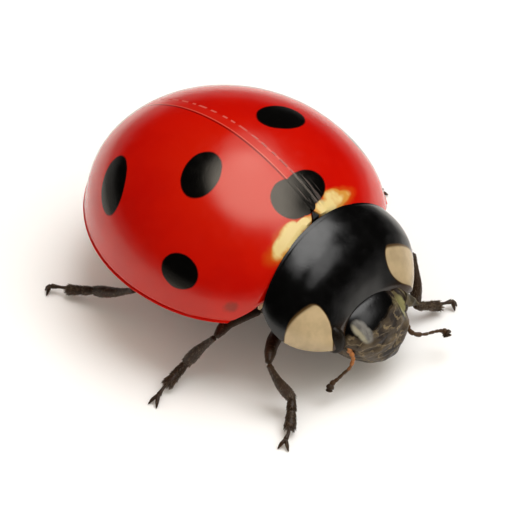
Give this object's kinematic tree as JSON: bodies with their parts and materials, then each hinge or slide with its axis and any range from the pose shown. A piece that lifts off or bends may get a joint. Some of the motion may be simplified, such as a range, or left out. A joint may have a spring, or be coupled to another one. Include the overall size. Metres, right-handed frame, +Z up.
{
  "type": "seven-spot ladybird, still model",
  "caption": "Life-size still model of a seven-spot ladybird standing on its feet with lowered head, domed spotted wing cases, antennae and bent legs.",
  "frame": {"origin": "on the floor plane, under the middle of the whole animal's box", "axes": "+Z up from the floor the feet stand on, head towards -Y, the animal's left side towards +X"},
  "size_m": [0.008, 0.008, 0.0039],
  "materials": {
    "elytra_red": "glossy red wing-case cuticle with black spots",
    "black_cuticle": "smooth satin black cuticle, cream patches at the front corners of the pronotum",
    "head_cuticle": "brownish black, finely wrinkled cuticle",
    "eye_black": "smooth black faceted eye",
    "belly_cuticle": "dull black, finely haired underside",
    "leg_brown": "dark brown, short-haired cuticle"
  },
  "bodies": {
    "root": {"abdomen": "belly_cuticle", "antenna_left_base": "leg_brown", "antenna_left_club": "leg_brown", "antenna_left_stem": "leg_brown", "antenna_right_base": "leg_brown", "antenna_right_club": "leg_brown", "antenna_right_stem": "leg_brown", "elytron_left": "elytra_red", "elytron_right": "elytra_red", "eye_left": "eye_black", "eye_right": "eye_black", "head": "head_cuticle", "labrum": "head_cuticle", "leg_front_left_coxa": "leg_brown", "leg_front_left_femur": "leg_brown", "leg_front_left_tarsus": "leg_brown", "leg_front_left_tibia": "leg_brown", "leg_front_right_coxa": "leg_brown", "leg_front_right_femur": "leg_brown", "leg_front_right_tarsus": "leg_brown", "leg_front_right_tibia": "leg_brown", "leg_hind_left_coxa": "leg_brown", "leg_hind_left_femur": "leg_brown", "leg_hind_left_tarsus": "leg_brown", "leg_hind_left_tibia": "leg_brown", "leg_hind_right_coxa": "leg_brown", "leg_hind_right_femur": "leg_brown", "leg_hind_right_tarsus": "leg_brown", "leg_hind_right_tibia": "leg_brown", "leg_middle_left_coxa": "leg_brown", "leg_middle_left_femur": "leg_brown", "leg_middle_left_tarsus": "leg_brown", "leg_middle_left_tibia": "leg_brown", "leg_middle_right_coxa": "leg_brown", "leg_middle_right_femur": "leg_brown", "leg_middle_right_tarsus": "leg_brown", "leg_middle_right_tibia": "leg_brown", "mouthparts": "head_cuticle", "pronotum": "black_cuticle", "prothorax": "belly_cuticle", "scutellum": "black_cuticle", "thorax": "belly_cuticle"}
  },
  "joints": []
}
